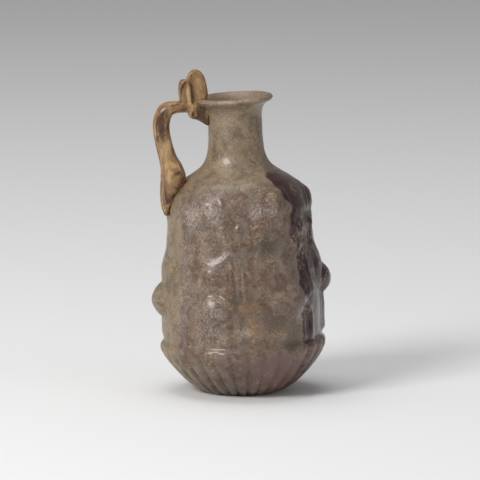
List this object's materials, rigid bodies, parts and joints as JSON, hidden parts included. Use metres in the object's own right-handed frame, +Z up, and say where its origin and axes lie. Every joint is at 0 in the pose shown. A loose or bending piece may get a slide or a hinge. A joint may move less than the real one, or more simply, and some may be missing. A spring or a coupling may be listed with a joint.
{
  "type": "glass jug",
  "caption": "Ancient mould-blown glass jug with a ribbed bowl, worn draped figures in relief, a narrow neck, a folded lip and a trailed handle with a thumb-rest.",
  "frame": {"origin": "centre of the foot, where the vessel's axis meets the table", "axes": "+Z up; the handle is at -X and +X points away from it; +Y is to the right for a viewer who faces the handle from -X"},
  "size_m": [0.0813, 0.0748, 0.1457],
  "materials": {
    "mould_blown_glass": "weathered, translucent wine-purple glass under a tan film",
    "trailed_glass": "glossy, amber-brown, streaked"
  },
  "bodies": {
    "root": {"vessel": "mould_blown_glass", "handle": "trailed_glass"}
  },
  "joints": []
}
